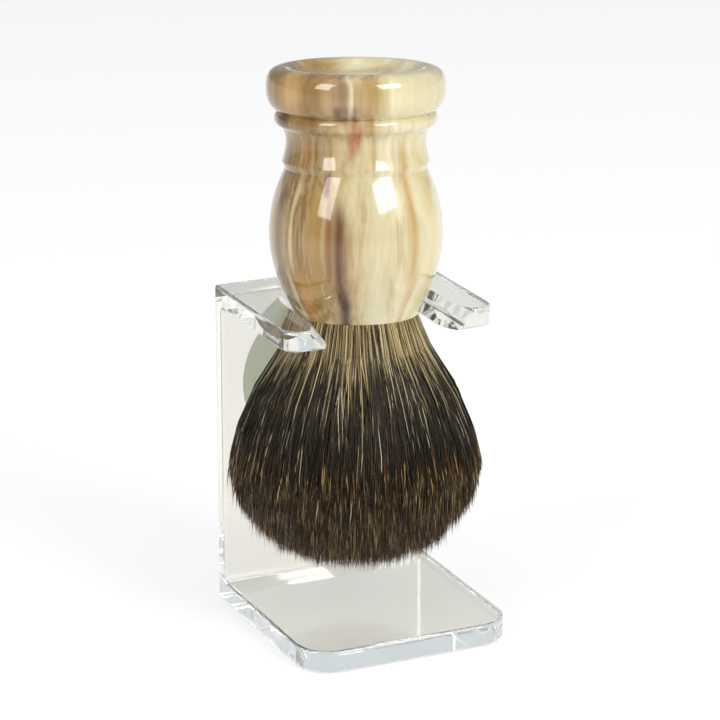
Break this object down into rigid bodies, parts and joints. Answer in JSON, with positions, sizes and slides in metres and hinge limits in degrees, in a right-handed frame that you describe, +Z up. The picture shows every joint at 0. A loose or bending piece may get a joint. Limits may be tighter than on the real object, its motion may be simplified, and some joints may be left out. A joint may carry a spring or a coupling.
{
  "type": "shaving brush in drip stand",
  "caption": "Turned resin shaving brush with a bloomed hair knot, hanging knot-down in a clear one-piece forked drip stand.",
  "frame": {"origin": "centre of the base's underside", "axes": "+Z up, X across the stand, -Y towards the fork's open mouth and the front of the base, +Y towards the plate"},
  "size_m": [0.0539, 0.054, 0.1253],
  "materials": {
    "clear_acrylic": "clear, polished",
    "label_film": "matt film",
    "horn_resin": "polished, streaked like horn",
    "badger_hair": "fine straight hair, light roots and dark band",
    "cast_resin": "cast, unpolished",
    "thread": "twisted cotton",
    "adhesive": "cured epoxy"
  },
  "bodies": {
    "stand": {"stand": "clear_acrylic", "round_label": "label_film"},
    "brush": {"handle": "horn_resin", "hair_knot": "badger_hair", "knot_plug": "cast_resin", "binding_thread": "thread", "socket_adhesive": "adhesive"}
  },
  "joints": [
    {"name": "brush_pull_out", "type": "slide", "parent": "stand", "child": "brush", "axis": [0, -0.9945, 0.1045], "range_m": [0, 0.08]}
  ]
}
